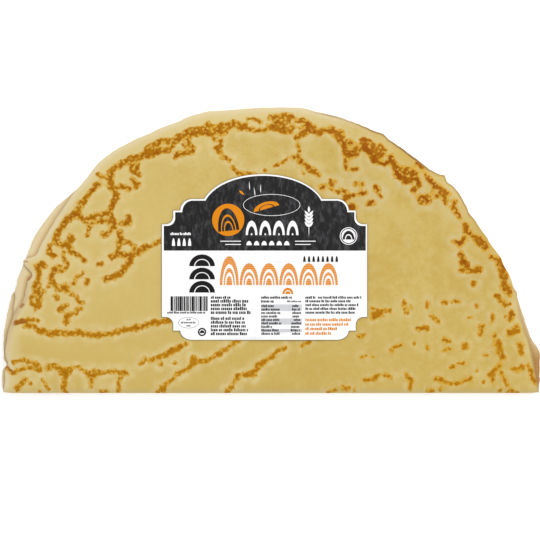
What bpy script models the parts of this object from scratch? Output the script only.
"""Three thin wheat crepes stacked flat and folded in half together, with a die-cut paper label on top.

+X runs along the fold, +Y from the fold to the round rim and +Z up from the surface the stack lies on.
Each crepe is one round sheet. Its lower half lies under the fold and its upper half over it, so the stack
has six leaves: layers 0 to 2 are the lower leaves and layers 3 to 5 the upper ones.
"""

from collections import namedtuple
from math import asin, atan2, ceil, cos, exp, hypot, pi, radians, sin, sqrt

import bmesh
import bpy
from mathutils import Vector

# Crepes, in metres
CREPE_NAMES = ("crepe_outer", "crepe_middle", "crepe_inner")
CREPE_RADIUS = 0.175
FOLD_OFF_CENTRE = 0.011
SHEET = 0.0008
LAYER_GAP = 0.00035
FOLD_CORE_RADIUS = 0.0011

# Rim of each crepe: the bearing is in degrees from +X round the flat sheet, below 180 on the upper leaf
Bulge = namedtuple("Bulge", "bearing height spread")
RIM_BULGES = {
    "crepe_outer": (
        Bulge(3, -0.0020, 9), Bulge(26, -0.0068, 23), Bulge(37, -0.0024, 6), Bulge(47, 0.0012, 4),
        Bulge(58, -0.0032, 10), Bulge(105.5, 0.0024, 5), Bulge(126, 0.0044, 9), Bulge(149, -0.0022, 8),
        Bulge(155, 0.0056, 1.8), Bulge(161, -0.0050, 5), Bulge(178, -0.0021, 9), Bulge(222, -0.0032, 14),
        Bulge(262, 0.0015, 12), Bulge(310, -0.0038, 16),
    ),
    "crepe_middle": (
        Bulge(5, 0.0010, 5), Bulge(14, -0.0036, 6), Bulge(33, -0.0078, 20), Bulge(60, -0.0052, 12),
        Bulge(92, -0.0012, 9), Bulge(112, -0.0022, 7), Bulge(128, 0.0010, 6), Bulge(148.5, 0.0043, 10),
        Bulge(168, -0.0024, 6), Bulge(205, -0.0014, 9), Bulge(240, 0.0016, 10), Bulge(288, -0.0030, 11),
        Bulge(330, -0.0016, 10),
    ),
    "crepe_inner": (
        Bulge(5, -0.0036, 9), Bulge(33, -0.0092, 22), Bulge(70, -0.0040, 12), Bulge(98, -0.0030, 14),
        Bulge(124, -0.0014, 8), Bulge(142, -0.0030, 8), Bulge(167, 0.0028, 6.5), Bulge(179, -0.0020, 4),
        Bulge(215, -0.0040, 12), Bulge(255, -0.0022, 12), Bulge(300, -0.0012, 14), Bulge(345, -0.0030, 8),
    ),
}

# How the leaves lie: soft waves in the middle, ruffles at the rim and an overhang that sinks to the table
RIM_RUFFLES = (
    Bulge(7, 0.0012, 6), Bulge(24, 0.0020, 9), Bulge(44, 0.0011, 7), Bulge(66, 0.0016, 9),
    Bulge(88, 0.0007, 8), Bulge(112, 0.0014, 9), Bulge(134, 0.0012, 8), Bulge(157, 0.0026, 8),
    Bulge(172, 0.0014, 6),
)
LIFT_SHARES = (0.0, 0.12, 0.26, 0.5, 0.78, 1.0)
RUFFLE_START = 0.122
WAVE_HEIGHT = 0.0004
WAVE_LENGTH_X = 0.120
WAVE_LENGTH_Y = 0.105
FLAT_NEAR_FOLD = 0.030
OPENING_FADE = 0.034
OVERHANG_DROP = 0.0030
OVERHANG_START = 0.0045
OVERHANG_LENGTH = 0.016

# Paper label, in metres; each corner steps in, then out in a round shoulder, under an arched top
LABEL_CENTRE_X = -0.0042
LABEL_HALF_WIDTH = 0.0670
LABEL_BOTTOM = -0.0582
LABEL_LOWER_STEP = -0.0433
LABEL_UPPER_STEP = 0.0175
LABEL_SHOULDER = 0.0339
LABEL_TOP = 0.0501
LABEL_NOTCH_DEPTH = 0.0089
LABEL_NOTCH_WIDTH = 0.0074
LABEL_NOTCH_RADIUS = 0.0050
LABEL_LEDGE = 0.0046
LABEL_SHOULDER_RADIUS = 0.0080
LABEL_ARCH_OFF_CENTRE = -0.0009
LABEL_ARCH_HALF_WIDTH = 0.0406
LABEL_ARCH_RISE = 0.0240
LABEL_PAPER = 0.0002
LABEL_GAP = 0.00035
LABEL_GRID = 0.014

# Fineness of the solids
CORE_RADIUS = 0.158
BEND_HALF_LENGTH = 0.005
BEND_STEPS = 8
FAN_START = 0.011
FOLD_COLUMNS = 14
ARC_STEPS = 44
RING_SHARES = (0.86, 0.68, 0.48, 0.26)
CORNER_STEPS = 5
ARCH_STEPS = 16

# Worked out from the sizes above
DEPTH = CREPE_RADIUS + FOLD_OFF_CENTRE
LAYER_PITCH = SHEET + LAYER_GAP
INNER_BEND = FOLD_CORE_RADIUS + SHEET / 2
OUTER_BEND = INNER_BEND + (len(CREPE_NAMES) - 1) * LAYER_PITCH
FOLD_FRONT_Y = -DEPTH / 2
FOLD_AXIS_Y = FOLD_FRONT_Y + OUTER_BEND + SHEET / 2
FOLD_AXIS_Z = OUTER_BEND + SHEET / 2
DISC_CENTRE_Y = FOLD_FRONT_Y + FOLD_OFF_CENTRE
LOWER_CENTRE_Y = FOLD_FRONT_Y - FOLD_OFF_CENTRE
OPENING = 2 * INNER_BEND - LAYER_PITCH
SHEET_CENTRE = BEND_HALF_LENGTH + DISC_CENTRE_Y - FOLD_AXIS_Y
HUB = BEND_HALF_LENGTH - FOLD_AXIS_Y
TOP_LAYER = 2 * len(CREPE_NAMES) - 1


def smooth_step(value):
    """0 below 0, 1 above 1, and an even S curve between."""
    value = min(max(value, 0.0), 1.0)
    return value * value * (3.0 - 2.0 * value)


def sum_of_bulges(bulges, bearing):
    """What a row of rounded bulges adds up to at a bearing in degrees."""
    total = 0.0
    for bulge in bulges:
        away = (bearing - bulge.bearing + 180.0) % 360.0 - 180.0
        total += bulge.height * exp(-(away / bulge.spread) ** 2)
    return total


def rim_radius(name, bearing):
    """Distance from the centre of a flat crepe to its rim."""
    return CREPE_RADIUS + sum_of_bulges(RIM_BULGES[name], bearing)


def lift(x, y):
    """How far the waves and the ruffled rim lift the top leaf."""
    from_centre = hypot(x, y - DISC_CENTRE_Y)
    bearing = atan2(y - DISC_CENTRE_Y, x) * 180.0 / pi
    wave = 1.0 + sin(2 * pi * x / WAVE_LENGTH_X + 0.6) * cos(2 * pi * y / WAVE_LENGTH_Y + 0.4)
    ruffle = sum_of_bulges(RIM_RUFFLES, bearing)
    at_rim = smooth_step((from_centre - RUFFLE_START) / (CREPE_RADIUS - RUFFLE_START))
    off_fold = smooth_step((y - FOLD_AXIS_Y) / FLAT_NEAR_FOLD)
    return off_fold * (WAVE_HEIGHT * wave + ruffle * at_rim)


def leaf_height(layer, x, y):
    """Height of the middle of a leaf's thickness above the table."""
    height = SHEET / 2 + layer * LAYER_PITCH + LIFT_SHARES[layer] * lift(x, y)
    if layer < len(CREPE_NAMES):
        return height
    beyond = hypot(x, y - LOWER_CENTRE_Y) - CREPE_RADIUS - OVERHANG_START
    drop = OVERHANG_DROP * smooth_step(beyond / OVERHANG_LENGTH)
    opening = OPENING * (1.0 - smooth_step((y - FOLD_AXIS_Y) / OPENING_FADE))
    return height + opening - drop


def folded(crepe, x, along):
    """Place a point of a flat crepe on the folded one; along is its distance from the fold line."""
    bend = OUTER_BEND - crepe * LAYER_PITCH
    if abs(along) <= BEND_HALF_LENGTH:
        angle = along / BEND_HALF_LENGTH * pi / 2
        return Vector((x, FOLD_AXIS_Y - bend * cos(angle), FOLD_AXIS_Z + bend * sin(angle)))
    layer = TOP_LAYER - crepe if along > 0 else crepe
    y = FOLD_AXIS_Y + abs(along) - BEND_HALF_LENGTH
    return Vector((x, y, leaf_height(layer, x, y)))


def core_half_width(along):
    """Half the width, at one row, of the round core that every crepe shares."""
    return sqrt(CORE_RADIUS ** 2 - (along - SHEET_CENTRE) ** 2)


def add_strip(sheet):
    """Rows of points across the fold; returns them from the lower leaf to the upper one."""
    bend_rows = [BEND_HALF_LENGTH * (2 * step / BEND_STEPS - 1) for step in range(BEND_STEPS + 1)]
    rows = []
    for along in [-FAN_START, *bend_rows, FAN_START]:
        half = core_half_width(along)
        shares = [2 * column / FOLD_COLUMNS - 1 for column in range(FOLD_COLUMNS + 1)]
        rows.append([sheet.verts.new((share * half, along, 0)) for share in shares])
    for low, high in zip(rows, rows[1:]):
        for column in range(FOLD_COLUMNS):
            sheet.faces.new((low[column], low[column + 1], high[column + 1], high[column]))
    return rows


def add_arc(sheet, start, sweep):
    """Points along the edge of the round core, between two bearings in radians."""
    arc = []
    for step in range(1, ARC_STEPS):
        bearing = start + sweep * step / ARC_STEPS
        arc.append(sheet.verts.new((CORE_RADIUS * cos(bearing), SHEET_CENTRE + CORE_RADIUS * sin(bearing), 0)))
    return arc


def add_fan(sheet, edge, hub_along):
    """Rings that shrink from a closed edge to a hub."""
    hub = Vector((0, hub_along, 0))
    outer = edge
    for share in RING_SHARES:
        inner = [sheet.verts.new(hub.lerp(vert.co, share)) for vert in edge]
        join_rings(sheet, outer, inner)
        outer = inner
    middle = sheet.verts.new(hub)
    for vert, following in zip(outer, outer[1:] + outer[:1]):
        sheet.faces.new((vert, following, middle))


def join_rings(sheet, outer, inner):
    """Quads between two closed rings with the same number of points."""
    count = len(outer)
    for index in range(count):
        after = (index + 1) % count
        sheet.faces.new((outer[index], outer[after], inner[after], inner[index]))


def rim_point(name, vert):
    """Where the crepe's own rim lies, straight out from a point on the edge of the core."""
    x, along, _ = vert.co
    rise = along - SHEET_CENTRE
    radius = rim_radius(name, atan2(rise, x) * 180.0 / pi)
    if abs(along) <= FAN_START:
        return Vector((sqrt(radius ** 2 - rise ** 2) * (1 if x > 0 else -1), along, 0))
    return Vector((x, rise, 0)).normalized() * radius + Vector((0, SHEET_CENTRE, 0))


def add_rim_band(sheet, name, edge):
    """Two rings from the edge of the core out to the uneven rim."""
    rim = [rim_point(name, vert) for vert in edge]
    middle_ring = [sheet.verts.new(vert.co.lerp(point, 0.5)) for vert, point in zip(edge, rim)]
    rim_ring = [sheet.verts.new(point) for point in rim]
    join_rings(sheet, rim_ring, middle_ring)
    join_rings(sheet, middle_ring, edge)


def crepe_mesh(crepe, name):
    """One crepe as an open sheet, drawn flat and then folded."""
    sheet = bmesh.new()
    rows = add_strip(sheet)
    upper_corner = asin((FAN_START - SHEET_CENTRE) / CORE_RADIUS)
    lower_corner = asin((-FAN_START - SHEET_CENTRE) / CORE_RADIUS)
    upper_arc = add_arc(sheet, upper_corner, pi - 2 * upper_corner)
    lower_arc = add_arc(sheet, pi - lower_corner, pi + 2 * lower_corner)
    add_fan(sheet, rows[-1] + upper_arc, HUB)
    add_fan(sheet, rows[0][::-1] + lower_arc, -HUB)
    right_edge = [row[-1] for row in rows]
    left_edge = [row[0] for row in reversed(rows)]
    add_rim_band(sheet, name, right_edge + upper_arc + left_edge + lower_arc)
    for vert in sheet.verts:
        vert.co = folded(crepe, vert.co.x, vert.co.y)
    return finish_mesh(sheet, name)


def ellipse_arc(centre, radii, start, end, steps):
    """Points of an elliptical arc between two angles in degrees, both ends included."""
    points = []
    for step in range(steps + 1):
        angle = radians(start + (end - start) * step / steps)
        points.append((centre[0] + radii[0] * cos(angle), centre[1] + radii[1] * sin(angle)))
    return points


def label_half(arch_x):
    """One half of the label's outline, drawn to the right, from the bottom up to the middle of the arch."""
    half = LABEL_HALF_WIDTH
    ledge = half - LABEL_NOTCH_WIDTH
    shoulder = ledge - LABEL_LEDGE - LABEL_SHOULDER_RADIUS
    notch = (LABEL_NOTCH_RADIUS, LABEL_NOTCH_RADIUS)
    notch_x = ledge + LABEL_NOTCH_RADIUS
    low_ledge = LABEL_LOWER_STEP - LABEL_NOTCH_DEPTH
    high_ledge = LABEL_UPPER_STEP + LABEL_NOTCH_DEPTH
    low_round = (LABEL_SHOULDER_RADIUS, low_ledge - LABEL_BOTTOM)
    high_round = (LABEL_SHOULDER_RADIUS, LABEL_SHOULDER - high_ledge)
    arch_y = LABEL_TOP - LABEL_ARCH_RISE
    arch_foot = asin((LABEL_SHOULDER - arch_y) / LABEL_ARCH_RISE) * 180.0 / pi
    arch_radii = (LABEL_ARCH_HALF_WIDTH, LABEL_ARCH_RISE)
    outline = ellipse_arc((shoulder, low_ledge), low_round, 270, 360, CORNER_STEPS)
    outline.append((ledge, low_ledge))
    outline += ellipse_arc((notch_x, LABEL_LOWER_STEP - LABEL_NOTCH_RADIUS), notch, 180, 90, CORNER_STEPS)
    outline += [(half, LABEL_LOWER_STEP), (half, LABEL_UPPER_STEP)]
    outline += ellipse_arc((notch_x, LABEL_UPPER_STEP + LABEL_NOTCH_RADIUS), notch, 270, 180, CORNER_STEPS)
    outline.append((ledge, high_ledge))
    outline += ellipse_arc((shoulder, high_ledge), high_round, 0, 90, CORNER_STEPS)
    outline += ellipse_arc((arch_x, arch_y), arch_radii, arch_foot, 90, ARCH_STEPS // 2)
    return outline


def label_mesh():
    """The label as an open sheet of paper that follows the top leaf."""
    right = label_half(LABEL_ARCH_OFF_CENTRE)
    left = [(-x, y) for x, y in reversed(label_half(-LABEL_ARCH_OFF_CENTRE)[:-1])]
    paper = bmesh.new()
    outline = [paper.verts.new((LABEL_CENTRE_X + x, y, 0)) for x, y in right + left]
    paper.faces.new(outline)
    for axis, low, high in ((0, -LABEL_HALF_WIDTH, LABEL_HALF_WIDTH), (1, LABEL_BOTTOM, LABEL_TOP)):
        shift = LABEL_CENTRE_X if axis == 0 else 0.0
        cuts = ceil((high - low) / LABEL_GRID)
        for cut in range(1, cuts):
            place = Vector((0, 0, 0))
            place[axis] = shift + low + (high - low) * cut / cuts
            normal = Vector((0, 0, 0))
            normal[axis] = 1
            geometry = paper.verts[:] + paper.edges[:] + paper.faces[:]
            bmesh.ops.bisect_plane(paper, geom=geometry, plane_co=place, plane_no=normal)
    bmesh.ops.triangulate(paper, faces=paper.faces[:])
    rise = SHEET / 2 + LABEL_GAP + LABEL_PAPER / 2
    for vert in paper.verts:
        vert.co.z = leaf_height(TOP_LAYER, vert.co.x, vert.co.y) + rise
    return finish_mesh(paper, "label")


def finish_mesh(shape, name):
    """Turn a working mesh into a smooth-shaded mesh block."""
    bmesh.ops.recalc_face_normals(shape, faces=shape.faces[:])
    mesh = bpy.data.meshes.new(name)
    shape.to_mesh(mesh)
    shape.free()
    mesh.shade_smooth()
    return mesh


def make_material(name, colour, roughness):
    """A plain finish for one sub-part; the colour is linear."""
    material = bpy.data.materials.new(name)
    material.use_nodes = True
    shader = material.node_tree.nodes["Principled BSDF"]
    shader.inputs["Base Color"].default_value = (*colour, 1.0)
    shader.inputs["Roughness"].default_value = roughness
    shader.inputs["Metallic"].default_value = 0.0
    return material


def add_sheet_object(collection, mesh, thickness, material):
    """Give an open sheet its thickness, half on each side."""
    piece = bpy.data.objects.new(mesh.name, mesh)
    collection.objects.link(piece)
    solid = piece.modifiers.new("Thickness", "SOLIDIFY")
    solid.thickness = thickness
    solid.offset = 0.0
    solid.use_even_offset = True
    piece.data.materials.append(material)
    return piece


def remove_scene_objects():
    for item in list(bpy.data.objects):
        bpy.data.objects.remove(item, do_unlink=True)


def main():
    remove_scene_objects()
    collection = bpy.data.collections.new("wheat_crepes")
    bpy.context.scene.collection.children.link(collection)
    crepe_colours = ((0.63, 0.47, 0.13), (0.70, 0.55, 0.25), (0.74, 0.60, 0.33))
    for crepe, name in enumerate(CREPE_NAMES):
        material = make_material(name + "_crumb", crepe_colours[crepe], 0.6)
        add_sheet_object(collection, crepe_mesh(crepe, name), SHEET, material)
    paper = make_material("label_paper", (0.86, 0.86, 0.86), 0.45)
    add_sheet_object(collection, label_mesh(), LABEL_PAPER, paper)


main()
